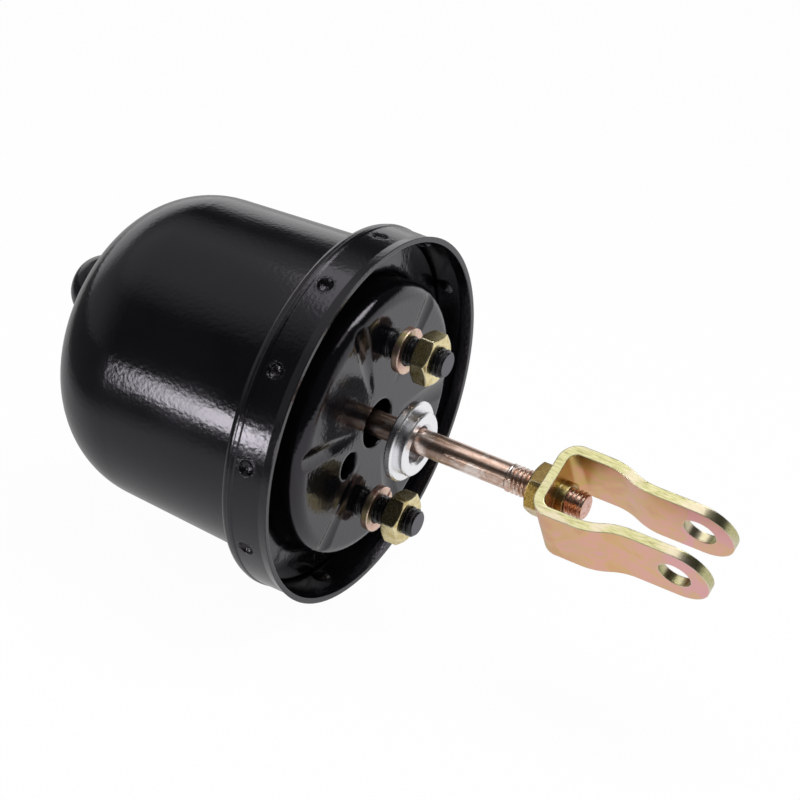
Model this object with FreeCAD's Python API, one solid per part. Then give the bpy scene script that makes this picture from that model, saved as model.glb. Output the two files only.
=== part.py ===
import FreeCAD, Part
import math
import os

# Exhaust brake chamber: an air-operated diaphragm actuator in a deep-drawn steel can.
# Millimetres. The origin is the centre of the cover's outer face, which seats on the bracket.
# +X is the way the push rod comes out, and +Z runs from the lower stud to the upper one.

V = FreeCAD.Vector

# Pressure can, drawn from sheet
casing_wall = 1.5
rim_x = -1.2
band_r = 51.2
lip_flare = 0.8
lip_length = 2.8
shoulder_corner_r = 2.5
shoulder_fillet = 1.5
ridge_height = 0.25
ridge_start = 2.6
ridge_end = 4.2
can_mouth_r = 45.5
can_taper = 0.055
knuckle_r = 28.3
crown_r = 57.6
can_back_x = -90.7
rim_r = band_r + lip_flare

# Stakes pressed into the band all round, which lock the cover in
stake_count = 12
stake_pit_r = 2.4
stake_wall = 1.2
stake_height = 0.8
stake_gap = 0.1

# Air inlet boss, welded through the dome
boss_r = 10.0
boss_offset_z = 6.7
boss_stand_out = 8.8
boss_seat_r = 6.2
boss_spigot_r = 6.8
boss_reach = 3.2
port_tap_r = 5.25
port_chamfer = 0.6
boss_end_x = can_back_x - boss_stand_out
boss_inner_x = can_back_x + boss_reach

# Front cover, pressed from sheet
cover_sheet = 2.0
cover_wall_r = 38.7
cover_corner_r = 4.0
cover_edge_break = 0.65
cover_foot_r = 2.5
cover_band_gap = 0.3
cover_flange_x = -11.5
cover_hole_r = 7.15
vent_hole_r = 4.0
vent_y = -12.2
vent_z = -8.8
crease_count = 6
crease_depth = 0.8
crease_r = 8.0
crease_start_r = 11.0
cover_flange_r = band_r - casing_wall - cover_band_gap
cover_flange_back_x = cover_flange_x - cover_sheet

# Bracket studs and what is on them
stud_spacing = 47.0
stud_head_r = 7.5
stud_head_height = 3.5
stud_shank_r = 4.25
stud_register_r = 4.0
stud_register_length = 3.0
stud_thread_r = 3.8
stud_end_x = 17.3
end_chamfer = 0.8
nut_across_flats = 13.0
nut_height = 5.0
nut_face_share = 0.97
stud_nut_back_x = 9.4
thread_clearance = 0.05
washer_r = 6.4
washer_bore_r = 4.15
washer_thickness = 2.0
washer_split = 1.2
upper_washer_gap = 0.7
upper_washer_split = -130.0
lower_washer_gap = 0.25
lower_washer_split = -50.0

# Diaphragm, moulded as a top hat
diaphragm_wall = 2.0
diaphragm_rim = 1.4
diaphragm_corner_r = 7.0
soft_gap = 0.05
shoulder_inner_x = cover_flange_back_x - diaphragm_rim
shoulder_x = shoulder_inner_x - casing_wall

# Piston and the parts riveted to it
piston_to_dome = 16.7
piston_sheet = 2.0
piston_r = 31.0
piston_side_gap = 2.5
piston_corner_r = 4.0
piston_skirt_length = 14.0
retainer_r = 21.0
retainer_lip = 1.6
retainer_sheet = 2.0
retainer_edge_break = 0.65
ball_r = 7.0
ball_clearance = 0.05
ball_behind = 1.6
seat_r = 10.5
seat_fit = 0.1
socket_wall = 1.8
socket_flange_r = 19.2
socket_mouth_r = 4.9
socket_mouth_margin = 0.6
rivet_count = 4
rivet_circle_r = 15.7
rivet_start = 45.0
rivet_r = 2.0
rivet_head_r = 3.0
rivet_head_height = 1.5
piston_back_x = can_back_x + piston_to_dome
diaphragm_side_r = piston_r + piston_side_gap + diaphragm_wall

# Return spring and its seat ring
spring_wire_r = 1.6
spring_cover_gap = 1.5
spring_skirt_gap = 3.0
spring_turns = 6
spring_seat_sheet = 1.3
spring_seat_inner_margin = 0.4
spring_seat_outer_margin = 0.2
spring_front_r = cover_wall_r - cover_sheet - spring_cover_gap - spring_wire_r
spring_back_r = piston_r - piston_sheet - spring_skirt_gap - spring_wire_r
spring_seat_inner_r = spring_front_r - spring_wire_r - spring_seat_inner_margin
spring_seat_outer_r = spring_front_r + spring_wire_r + spring_seat_outer_margin

# Push rod and its lock nut
rod_r = 3.55
rod_thread_r = 3.9
rod_thread_x = 41.4
rod_end_x = 63.9
lock_nut_x = 48.7
lock_nut_turn = 23.0

# Guide ring, turned from aluminium bar, hanging on the rod
ring_back_x = 9.0
ring_flange_r = 11.3
ring_flange_length = 2.3
ring_length = 4.8
ring_hub_r = 9.0
ring_bore_r = 5.2
ring_chamfer = 0.8
ring_hang_clearance = 0.05

# Clevis, bent from strap
face_clearance = 0.05
strap = 2.8
strap_width = 20.0
clevis_outer_width = 22.6
clevis_bend_r = 5.5
clevis_gap = 11.1
jog_start = 13.1
jog_length = 15.0
pin_hole_r = 4.75
pin_centre = 40.4
collar_r = 4.9
collar_length = 2.5
clevis_roll = -52.4


def line(a, b):
    return Part.LineSegment(V(*a), V(*b)).toShape()


def arc(a, b, c):
    return Part.Arc(V(*a), V(*b), V(*c)).toShape()


def in_plane(point):
    """A profile point (x, radius) as a point of the XY half-plane."""
    return (point[0], point[1], 0)


def arc_about(centre, radius, start, end):
    """An arc in the profile plane, from its centre and its two end angles in radians."""
    at = [
        (centre[0] + radius * math.cos(angle), centre[1] + radius * math.sin(angle))
        for angle in (start, (start + end) / 2, end)
    ]
    return arc(*[in_plane(point) for point in at])


def path(points):
    """Straight edges through profile points."""
    return [line(in_plane(a), in_plane(b)) for a, b in zip(points, points[1:])]


def spun(edges):
    """The solid that a closed profile sweeps as it turns about the X axis."""
    wire = Part.Wire(Part.__sortEdges__(edges))
    return Part.Face(wire).revolve(V(0, 0, 0), V(1, 0, 0), 360)


def turned(points):
    """A turned solid from profile points joined by straight lines."""
    return spun(path(points + points[:1]))


def rod_along_x(radius, start, end, y=0.0, z=0.0):
    return Part.makeCylinder(radius, end - start, V(start, y, z), V(1, 0, 0))


def around(shape, count, start=0.0):
    """Copies of a shape, evenly spaced about the X axis."""
    copies = []
    for index in range(count):
        copy = shape.copy()
        copy.rotate(V(0, 0, 0), V(1, 0, 0), start + index * 360 / count)
        copies.append(copy)
    return copies


def hex_nut(across_flats, height, bore_r, back_x, z=0.0, turn=0.0):
    """A hexagon nut with both faces chamfered to the across-flats circle."""
    corner_r = across_flats / 2 / math.cos(math.radians(30))
    corners = [
        V(back_x, corner_r * math.cos(math.radians(angle)), corner_r * math.sin(math.radians(angle)))
        for angle in range(0, 420, 60)
    ]
    prism = Part.Face(Part.makePolygon(corners)).extrude(V(height, 0, 0))
    flat_r = across_flats / 2 * nut_face_share
    drop = (corner_r - flat_r) * math.tan(math.radians(30))
    front_x = back_x + height
    blank = turned(
        [(back_x, 0), (back_x, flat_r), (back_x + drop, corner_r), (front_x - drop, corner_r), (front_x, flat_r),
         (front_x, 0)]
    )
    nut = prism.common(blank).cut(rod_along_x(bore_r, back_x, front_x))
    nut.rotate(V(0, 0, 0), V(1, 0, 0), turn)
    nut.translate(V(0, 0, z))
    return nut


# Lines and tangent points of the can's profile, for its outside and its inside
taper_angle = math.atan(can_taper)
crown_centre_x = can_back_x + crown_r


def mouth_radius(x, inset):
    """Radius of the tapered wall at x, for the outer face or for one a wall further in."""
    return can_mouth_r + can_taper * (x - shoulder_x) - inset / math.cos(taper_angle)


def knuckle_centre():
    """Centre of the arc that is tangent to the tapered wall and to the crown."""
    reach = crown_r - knuckle_r
    offset = mouth_radius(0, knuckle_r)
    a = 1 + can_taper ** 2
    b = offset * can_taper - crown_centre_x
    c = crown_centre_x ** 2 + offset ** 2 - reach ** 2
    x = (-b - math.sqrt(b * b - a * c)) / a
    return x, mouth_radius(x, knuckle_r)


knuckle_x, knuckle_centre_r = knuckle_centre()
crown_angle = math.atan2(knuckle_centre_r, knuckle_x - crown_centre_x)
wall_angle = math.pi / 2 + taper_angle


def can_edges(inset, start):
    """The can's outline from a point on its tapered wall back to the pole of the dome."""
    wall_end = (
        knuckle_x + (knuckle_r - inset) * math.cos(wall_angle),
        knuckle_centre_r + (knuckle_r - inset) * math.sin(wall_angle),
    )
    return [
        line(in_plane(start), in_plane(wall_end)),
        arc_about((knuckle_x, knuckle_centre_r), knuckle_r - inset, wall_angle, crown_angle),
        arc_about((crown_centre_x, 0), crown_r - inset, crown_angle, math.pi),
    ]


band_inner_r = band_r - casing_wall
root_centre = (
    shoulder_x - shoulder_fillet,
    mouth_radius(shoulder_x - shoulder_fillet, 0) + shoulder_fillet,
)
root_inner_r = shoulder_fillet + casing_wall
stake_centre_r = band_r + stake_height
stake_bump_r = stake_pit_r + stake_wall
stake_x = cover_flange_x + stake_gap + math.sqrt(stake_bump_r ** 2 - (stake_centre_r - cover_flange_r) ** 2)


def casing():
    lip_x = rim_x - lip_length
    ridge_front_x = shoulder_x + ridge_end
    groove_x = shoulder_x + ridge_start
    corner_x = shoulder_x + shoulder_corner_r
    corner_r = band_r - shoulder_corner_r
    inner_corner_r = shoulder_corner_r - casing_wall
    outer_root = (root_centre[0], root_centre[1] - shoulder_fillet)
    inner_root = (root_centre[0], mouth_radius(root_centre[0], casing_wall))
    outer_top = (shoulder_x, root_centre[1])
    inner_top = (shoulder_inner_x, root_centre[1])
    inner_mid = (
        root_centre[0] + root_inner_r * math.cos(math.pi / 4),
        root_centre[1] - root_inner_r * math.sin(math.pi / 4),
    )
    edges = path(
        [
            (rim_x, rim_r - casing_wall),
            (rim_x, rim_r),
            (lip_x, band_r),
            (ridge_front_x, band_r),
            (ridge_front_x - ridge_height, band_r + ridge_height),
            (groove_x + ridge_height, band_r + ridge_height),
            (groove_x, band_r),
            (corner_x, band_r),
        ]
    )
    edges.append(arc_about((corner_x, corner_r), shoulder_corner_r, math.pi / 2, math.pi))
    edges.append(line(in_plane((shoulder_x, corner_r)), in_plane(outer_top)))
    edges.append(arc_about(root_centre, shoulder_fillet, 0, -math.pi / 2))
    edges += can_edges(0, outer_root)
    edges.append(line((can_back_x, 0, 0), (can_back_x + casing_wall, 0, 0)))
    edges += can_edges(casing_wall, inner_root)
    edges.append(arc(in_plane(inner_top), in_plane(inner_mid), in_plane(inner_root)))
    edges.append(line(in_plane(inner_top), in_plane((shoulder_inner_x, band_inner_r - inner_corner_r))))
    edges.append(
        arc_about(
            (shoulder_inner_x + inner_corner_r, band_inner_r - inner_corner_r), inner_corner_r, math.pi / 2, math.pi
        )
    )
    edges += path(
        [(shoulder_inner_x + inner_corner_r, band_inner_r), (lip_x, band_inner_r), (rim_x, rim_r - casing_wall)]
    )
    shell = spun(edges)
    band_core = rod_along_x(band_r - casing_wall / 2, shoulder_x, rim_x)
    bump = Part.makeSphere(stake_bump_r, V(stake_x, 0, stake_centre_r)).common(band_core)
    pit = Part.makeSphere(stake_pit_r, V(stake_x, 0, stake_centre_r))
    shell = shell.fuse(around(bump, stake_count))
    shell = shell.cut(Part.makeCompound(around(pit, stake_count)))
    return shell.cut(rod_along_x(boss_spigot_r, can_back_x, boss_inner_x, z=boss_offset_z))


def inlet_boss():
    ball_x = boss_end_x + boss_r
    seat_x = ball_x - math.sqrt(boss_r ** 2 - boss_seat_r ** 2)
    ball = Part.makeSphere(boss_r, V(ball_x, 0, boss_offset_z))
    barrel = rod_along_x(boss_r, ball_x, crown_centre_x, z=boss_offset_z)
    dome = Part.makeSphere(crown_r, V(crown_centre_x, 0, 0))
    boss = ball.fuse(barrel).cut(dome)
    boss = boss.cut(rod_along_x(boss_r, boss_end_x, seat_x, z=boss_offset_z))
    boss = boss.fuse(rod_along_x(boss_spigot_r, can_back_x, boss_inner_x, z=boss_offset_z))
    mouth = Part.makeCone(
        port_tap_r + port_chamfer, port_tap_r, port_chamfer, V(seat_x, 0, boss_offset_z), V(1, 0, 0)
    )
    bore = rod_along_x(port_tap_r, seat_x, boss_inner_x, z=boss_offset_z)
    return boss.cut(bore.fuse(mouth)).removeSplitter()


def front_cover():
    flat_r = cover_wall_r - cover_corner_r
    foot_outer_r = cover_wall_r + cover_foot_r
    foot_centre = (cover_flange_x + cover_foot_r, foot_outer_r)
    corner_centre = (-cover_corner_r, flat_r)
    edges = path([(-cover_sheet, cover_hole_r), (0, cover_hole_r), (0, flat_r)])
    edges.append(arc_about(corner_centre, cover_corner_r, 0, math.pi / 2))
    edges += path([(-cover_corner_r, cover_wall_r), (foot_centre[0], cover_wall_r)])
    edges.append(arc_about(foot_centre, cover_foot_r, -math.pi / 2, -math.pi))
    edges += path(
        [
            (cover_flange_x, foot_outer_r),
            (cover_flange_x, cover_flange_r - cover_edge_break),
            (cover_flange_x - cover_edge_break, cover_flange_r),
            (cover_flange_back_x, cover_flange_r),
            (cover_flange_back_x, foot_outer_r),
        ]
    )
    edges.append(arc_about(foot_centre, cover_foot_r + cover_sheet, -math.pi / 2, -math.pi))
    edges += path([(foot_centre[0], cover_wall_r - cover_sheet), (-cover_corner_r, cover_wall_r - cover_sheet)])
    edges.append(arc_about(corner_centre, cover_corner_r - cover_sheet, 0, math.pi / 2))
    edges += path([(-cover_sheet, flat_r), (-cover_sheet, cover_hole_r)])
    cover = spun(edges)

    def crease(radius):
        """A bar that lies along +Y and dips toward the rim, for one crease of the face."""
        dip = math.atan2(crease_depth, flat_r - crease_start_r)
        along = V(-math.sin(dip), math.cos(dip), 0)
        out = V(math.cos(dip), math.sin(dip), 0)
        start = V(0, crease_start_r, 0) + out * crease_r
        return Part.makeCylinder(radius, cover_wall_r - crease_start_r, start, along)

    behind_face = rod_along_x(flat_r, -cover_sheet - 2 * crease_depth, -cover_sheet / 2)
    ridge = crease(crease_r + cover_sheet).common(behind_face)
    cover = cover.fuse(around(ridge, crease_count))
    cover = cover.cut(Part.makeCompound(around(crease(crease_r), crease_count)))
    holes = [rod_along_x(stud_shank_r, -cover_sheet, 0, z=side * stud_spacing / 2) for side in (-1, 1)]
    holes.append(rod_along_x(vent_hole_r, -cover_sheet, 0, y=vent_y, z=vent_z))
    return cover.cut(Part.makeCompound(holes))


def stud(side):
    """A press-in stud: head behind the cover, knurled shank in its hole, register, then thread."""
    body = turned(
        [
            (-cover_sheet - stud_head_height, 0),
            (-cover_sheet - stud_head_height, stud_head_r - end_chamfer),
            (-cover_sheet - stud_head_height + end_chamfer, stud_head_r),
            (-cover_sheet, stud_head_r),
            (-cover_sheet, stud_shank_r),
            (0, stud_shank_r),
            (0, stud_register_r),
            (stud_register_length, stud_register_r),
            (stud_register_length, stud_thread_r),
            (stud_end_x - end_chamfer, stud_thread_r),
            (stud_end_x, stud_thread_r - end_chamfer),
            (stud_end_x, 0),
        ]
    )
    body.translate(V(0, 0, side * stud_spacing / 2))
    return body


def spring_washer(side, back_x, split_turn):
    """A split washer that hangs on the stud's thread."""
    drop = washer_bore_r - stud_thread_r - thread_clearance
    ring = rod_along_x(washer_r, back_x, back_x + washer_thickness)
    ring = ring.cut(rod_along_x(washer_bore_r, back_x, back_x + washer_thickness))
    slot = Part.makeBox(washer_thickness * 2, washer_split, washer_r, V(0, -washer_split / 2, 0))
    slot.translate(V(back_x - washer_thickness / 2, 0, 0))
    slot.rotate(V(0, 0, 0), V(1, 0, 0), split_turn)
    ring = ring.cut(slot)
    ring.translate(V(0, 0, side * stud_spacing / 2 - drop))
    return ring


diaphragm_back_x = piston_back_x - soft_gap
retainer_front_x = diaphragm_back_x - diaphragm_wall - soft_gap
retainer_back_x = retainer_front_x - retainer_sheet
piston_front_x = piston_back_x + piston_sheet
ball_x = piston_front_x + ball_behind + ball_r


def rivet_holes(clearance=0.0):
    hole = rod_along_x(rivet_r + clearance, retainer_back_x, ball_x, z=rivet_circle_r)
    return Part.makeCompound(around(hole, rivet_count, rivet_start))


def diaphragm():
    """A top hat of reinforced rubber: clamped rim, side inside the can's wall, head on the piston."""
    rim_front_x = cover_flange_back_x - soft_gap
    rim_back_x = shoulder_inner_x + soft_gap
    head_back_x = diaphragm_back_x - diaphragm_wall
    rim_edge_r = cover_flange_r - (shoulder_corner_r - casing_wall)
    neck_r = root_inner_r + soft_gap
    neck_x = root_centre[0]
    side_top_r = root_centre[1] - neck_r
    corner = (head_back_x + diaphragm_corner_r, diaphragm_side_r - diaphragm_corner_r)
    edges = path([(rim_front_x, rim_edge_r), (rim_back_x, rim_edge_r), (rim_back_x, root_centre[1])])
    edges.append(arc_about(root_centre, neck_r, 0, -math.pi / 2))
    edges.append(line(in_plane((neck_x, side_top_r)), in_plane((corner[0], diaphragm_side_r))))
    edges.append(arc_about(corner, diaphragm_corner_r, math.pi / 2, math.pi))
    edges += path([(head_back_x, corner[1]), (head_back_x, 0), (diaphragm_back_x, 0), (diaphragm_back_x, corner[1])])
    edges.append(arc_about(corner, diaphragm_corner_r - diaphragm_wall, math.pi / 2, math.pi))
    edges += path(
        [
            (corner[0], diaphragm_side_r - diaphragm_wall),
            (neck_x, side_top_r - diaphragm_wall),
            (rim_front_x, side_top_r),
            (rim_front_x, rim_edge_r),
        ]
    )
    return spun(edges).cut(rivet_holes(soft_gap))


def piston_cup():
    centre = (piston_back_x + piston_corner_r, piston_r - piston_corner_r)
    skirt_end_x = piston_back_x + piston_skirt_length
    edges = path([(piston_front_x, 0), (piston_back_x, 0), (piston_back_x, centre[1])])
    edges.append(arc_about(centre, piston_corner_r, math.pi, math.pi / 2))
    edges += path(
        [
            (centre[0], piston_r),
            (skirt_end_x, piston_r),
            (skirt_end_x, piston_r - piston_sheet),
            (centre[0], piston_r - piston_sheet),
        ]
    )
    edges.append(arc_about(centre, piston_corner_r - piston_sheet, math.pi / 2, math.pi))
    edges += path([(piston_front_x, centre[1]), (piston_front_x, 0)])
    return spun(edges).cut(rivet_holes())


def retainer_plate():
    plate = turned(
        [
            (retainer_front_x, 0),
            (retainer_front_x, retainer_r),
            (retainer_front_x - retainer_lip, retainer_r + retainer_lip),
            (retainer_back_x - retainer_lip, retainer_r + retainer_lip - retainer_edge_break),
            (retainer_back_x, retainer_r - retainer_edge_break),
            (retainer_back_x, 0),
        ]
    )
    return plate.cut(rivet_holes())


def ball_seat():
    block = rod_along_x(seat_r, piston_front_x, ball_x)
    return block.cut(Part.makeSphere(ball_r + ball_clearance, V(ball_x, 0, 0)))


socket_front_x = ball_x + math.sqrt((ball_r + ball_clearance) ** 2 - (socket_mouth_r + socket_mouth_margin) ** 2)


def rod_socket():
    inner_r = seat_r + seat_fit
    outer_r = inner_r + socket_wall
    socket = turned(
        [
            (piston_front_x, inner_r),
            (piston_front_x, socket_flange_r),
            (piston_front_x + socket_wall, socket_flange_r),
            (piston_front_x + socket_wall, outer_r),
            (socket_front_x - socket_wall / 2, outer_r),
            (socket_front_x, outer_r - socket_wall / 2),
            (socket_front_x, socket_mouth_r),
            (socket_front_x - socket_wall, socket_mouth_r),
            (socket_front_x - socket_wall, inner_r),
        ]
    )
    socket = socket.cut(Part.makeSphere(ball_r + ball_clearance, V(ball_x, 0, 0)))
    return socket.cut(rivet_holes())


def socket_rivets():
    """Rivets through retainer plate, diaphragm, piston and socket flange, with a head at each end."""
    front_x = piston_front_x + socket_wall
    rivet = turned(
        [
            (retainer_back_x - rivet_head_height, 0),
            (retainer_back_x - rivet_head_height, rivet_r),
            (retainer_back_x - rivet_head_height / 2, rivet_head_r),
            (retainer_back_x, rivet_head_r),
            (retainer_back_x, rivet_r),
            (front_x, rivet_r),
            (front_x, rivet_head_r),
            (front_x + rivet_head_height / 2, rivet_head_r),
            (front_x + rivet_head_height, rivet_r),
            (front_x + rivet_head_height, 0),
        ]
    )
    rivet.translate(V(0, 0, rivet_circle_r))
    return Part.makeCompound(around(rivet, rivet_count, rivet_start))


spring_seat_front_x = -cover_sheet - crease_depth
spring_seat_back_x = spring_seat_front_x - spring_seat_sheet


def spring_seat():
    return rod_along_x(spring_seat_outer_r, spring_seat_back_x, spring_seat_front_x).cut(
        rod_along_x(spring_seat_inner_r, spring_seat_back_x, spring_seat_front_x)
    )


def return_spring():
    """A conical coil whose ends are ground flat on the piston and on the seat ring."""
    length = spring_seat_back_x - piston_front_x
    cone = math.degrees(math.atan2(spring_front_r - spring_back_r, length))
    coil = Part.makeHelix(length / spring_turns, length, spring_back_r, cone)
    section = Part.Wire(Part.makeCircle(spring_wire_r, V(spring_back_r, 0, 0), V(0, 1, 0)))
    wire = Part.Wire(coil).makePipeShell([section], True, True)
    wire.rotate(V(0, 0, 0), V(0, 1, 0), 90)
    wire.translate(V(piston_front_x, 0, 0))
    between = rod_along_x(cover_wall_r, piston_front_x + soft_gap, spring_seat_back_x - soft_gap)
    return wire.common(between)


def push_rod():
    rod = turned(
        [
            (ball_x, 0),
            (ball_x, rod_r),
            (rod_thread_x, rod_r),
            (rod_thread_x + rod_thread_r - rod_r, rod_thread_r),
            (rod_end_x - end_chamfer, rod_thread_r),
            (rod_end_x, rod_thread_r - end_chamfer),
            (rod_end_x, 0),
        ]
    )
    return rod.fuse(Part.makeSphere(ball_r, V(ball_x, 0, 0)))


def guide_ring():
    front_x = ring_back_x + ring_length
    flange_x = ring_back_x + ring_flange_length
    ring = turned(
        [
            (ring_back_x, ring_bore_r),
            (ring_back_x, ring_flange_r - ring_chamfer / 2),
            (ring_back_x + ring_chamfer / 2, ring_flange_r),
            (flange_x - ring_chamfer / 2, ring_flange_r),
            (flange_x, ring_flange_r - ring_chamfer / 2),
            (flange_x, ring_hub_r),
            (front_x - ring_chamfer / 2, ring_hub_r),
            (front_x, ring_hub_r - ring_chamfer / 2),
            (front_x, ring_bore_r + ring_chamfer),
            (front_x - ring_chamfer, ring_bore_r),
        ]
    )
    ring.translate(V(0, 0, rod_thread_r + ring_hang_clearance - ring_bore_r))
    return ring


clevis_x = lock_nut_x + nut_height + face_clearance


def clevis():
    """A strap bent to a fork, with its arms stepped in to the lever's width, in its own frame."""
    half = clevis_outer_width / 2
    eye_half = clevis_gap / 2 + strap
    step = half - eye_half
    turn = 2 * math.atan2(step, jog_length)
    jog_r = jog_length / 2 / math.sin(turn)
    tip_x = clevis_x + pin_centre + strap_width / 2
    jog_x = clevis_x + jog_start
    eye_x = jog_x + jog_length

    def side(inset, sign):
        """One arm's edges in the XY plane, from the middle of the base to the tip."""
        start_x = clevis_x + inset
        bend = clevis_bend_r - inset
        centre = (clevis_x + clevis_bend_r, half - clevis_bend_r)
        outer = half - inset
        mid_x = jog_x + jog_length / 2
        first_r = jog_r - strap / 2 + strap - inset
        first = (jog_x, half - strap / 2 - jog_r)
        second = (eye_x, eye_half - strap / 2 + jog_r)
        second_r = jog_r - strap / 2 + inset
        edges = [line((start_x, 0, 0), (start_x, centre[1], 0)), arc_about(centre, bend, math.pi, math.pi / 2)]
        edges.append(line((centre[0], outer, 0), (jog_x, outer, 0)))
        edges.append(arc_about(first, first_r, math.pi / 2, math.pi / 2 - turn))
        edges.append(arc_about(second, second_r, -math.pi / 2 - turn, -math.pi / 2))
        edges.append(line((eye_x, eye_half - inset, 0), (tip_x, eye_half - inset, 0)))
        if sign < 0:
            edges = [edge.mirror(V(0, 0, 0), V(0, 1, 0)) for edge in edges]
        return edges

    edges = []
    for sign in (1, -1):
        edges += side(0, sign) + side(strap, sign)
        edges.append(line((tip_x, sign * eye_half, 0), (tip_x, sign * (eye_half - strap), 0)))
    outline = Part.Face(Part.Wire(Part.__sortEdges__(edges)))
    fork = outline.extrude(V(0, 0, strap_width))
    fork.translate(V(0, 0, -strap_width / 2))
    pin_x = clevis_x + pin_centre
    strap_plan = Part.makeBox(pin_centre, clevis_outer_width, strap_width, V(clevis_x, -half, -strap_width / 2))
    eye_plan = Part.makeCylinder(strap_width / 2, clevis_outer_width, V(pin_x, -half, 0), V(0, 1, 0))
    fork = fork.common(strap_plan.fuse(eye_plan))
    collar_end_x = clevis_x + strap + collar_length
    fork = fork.fuse(rod_along_x(collar_r, clevis_x + strap / 2, collar_end_x))
    fork = fork.cut(rod_along_x(rod_thread_r + thread_clearance, clevis_x, collar_end_x))
    fork = fork.cut(Part.makeCylinder(pin_hole_r, clevis_outer_width, V(pin_x, -half, 0), V(0, 1, 0)))
    fork = fork.removeSplitter()
    fork.rotate(V(0, 0, 0), V(1, 0, 0), 90 + clevis_roll)
    return fork


nodes = {
    "casing": casing(),
    "inlet_boss": inlet_boss(),
    "front_cover": front_cover(),
    "diaphragm": diaphragm(),
    "piston_cup": piston_cup(),
    "retainer_plate": retainer_plate(),
    "ball_seat": ball_seat(),
    "rod_socket": rod_socket(),
    "socket_rivets": socket_rivets(),
    "return_spring": return_spring(),
    "spring_seat": spring_seat(),
    "push_rod": push_rod(),
    "lock_nut": hex_nut(
        nut_across_flats, nut_height, rod_thread_r + thread_clearance, lock_nut_x, turn=lock_nut_turn
    ),
    "guide_ring": guide_ring(),
    "clevis": clevis(),
}
for name, side, washer_gap, split_turn in (
    ("upper", 1, upper_washer_gap, upper_washer_split),
    ("lower", -1, lower_washer_gap, lower_washer_split),
):
    z = side * stud_spacing / 2
    nodes[name + "_stud"] = stud(side)
    nodes[name + "_stud_nut"] = hex_nut(
        nut_across_flats, nut_height, stud_thread_r + thread_clearance, stud_nut_back_x, z
    )
    nodes[name + "_spring_washer"] = spring_washer(side, stud_register_length + washer_gap, split_turn)

os.makedirs("parts", exist_ok=True)
for name, shape in nodes.items():
    shape.exportStep("parts/" + name + ".step")
    print(name, len(shape.Solids), round(shape.Volume, 1), shape.isValid())
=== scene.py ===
import math

import bmesh
import bpy
from mathutils import Matrix, Vector


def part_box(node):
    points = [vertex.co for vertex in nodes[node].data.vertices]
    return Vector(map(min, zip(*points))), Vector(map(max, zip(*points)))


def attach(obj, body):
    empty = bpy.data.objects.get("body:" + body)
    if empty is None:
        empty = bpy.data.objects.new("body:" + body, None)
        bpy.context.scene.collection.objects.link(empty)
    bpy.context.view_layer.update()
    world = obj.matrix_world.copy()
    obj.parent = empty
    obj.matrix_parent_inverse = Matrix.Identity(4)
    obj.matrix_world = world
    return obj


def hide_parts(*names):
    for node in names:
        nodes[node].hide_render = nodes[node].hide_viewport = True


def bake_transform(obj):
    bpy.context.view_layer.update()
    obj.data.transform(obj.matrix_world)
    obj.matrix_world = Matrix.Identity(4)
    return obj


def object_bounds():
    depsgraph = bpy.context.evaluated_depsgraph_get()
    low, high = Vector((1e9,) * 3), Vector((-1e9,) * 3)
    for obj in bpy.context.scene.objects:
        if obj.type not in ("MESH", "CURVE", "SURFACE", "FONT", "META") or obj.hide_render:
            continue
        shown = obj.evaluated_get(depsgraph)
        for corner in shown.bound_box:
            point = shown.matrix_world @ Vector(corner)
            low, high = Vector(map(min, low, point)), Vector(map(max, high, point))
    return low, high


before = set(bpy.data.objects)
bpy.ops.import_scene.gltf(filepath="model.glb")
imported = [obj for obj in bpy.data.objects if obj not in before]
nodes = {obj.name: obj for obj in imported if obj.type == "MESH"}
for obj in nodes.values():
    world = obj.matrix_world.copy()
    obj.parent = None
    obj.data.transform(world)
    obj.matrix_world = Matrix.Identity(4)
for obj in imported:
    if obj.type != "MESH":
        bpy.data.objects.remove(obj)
cad_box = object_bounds()
MM = 0.001


# The photograph's view.
# A long lens looks at the cover from in front, to its left and above, and the chamber lies
# across the picture with its push rod to the right.
view_distance = 900 * MM
view_x = Vector((0.849, 0.5017, 0.1651))
view_y = Vector((-0.3395, 0.2782, 0.8979))
view_z = Vector((0.405, -0.8187, 0.4064))
rim_centre = Vector((-1.2 * MM, 0, 0))
rim_in_view = Vector((-7.15 * MM, -5.97 * MM, -view_distance))

camera = bpy.data.objects.new("camera", bpy.data.cameras.new("camera"))
bpy.context.scene.collection.objects.link(camera)
turn = Matrix((view_x, view_y, view_z)).transposed()
camera.matrix_world = Matrix.Translation(rim_centre - turn @ rim_in_view) @ turn.to_4x4()
camera.data.sensor_width = 36
camera.data.lens = 151.9
camera.data.clip_start = 0.05
camera.data.clip_end = 20
bpy.context.scene.camera = camera
bpy.context.scene.view_settings.view_transform = "Standard"


# The light.
# A white paper backdrop stands behind the chamber and the rest of the room is dark, as the
# black enamel shows. A flash stands low in front and is brightest at its right, another hangs
# above, and a card over the rod lights the plated parts.
def add_node(tree, kind, settings=None, inputs=None):
    """Adds a shader or geometry node, sets its properties, and fills or links its inputs.

    Inputs go by name or number. A Map Range turns the range 1 to 2 into the range 3 to 4."""
    node = tree.nodes.new(kind)
    for name, value in (settings or {}).items():
        setattr(node, name, value)
    for name, value in (inputs or {}).items():
        socket = node.inputs[name]
        if isinstance(value, bpy.types.NodeSocket):
            tree.links.new(value, socket)
        else:
            socket.default_value = value
    return node


def srgb(code):
    """A hex colour as written on screen, turned to the linear values that a shader reads."""
    channels = [int(code[i:i + 2], 16) / 255 for i in (0, 2, 4)]
    linear = [c / 12.92 if c <= 0.04045 else ((c + 0.055) / 1.055) ** 2.4 for c in channels]
    return (*linear, 1.0)


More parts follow.
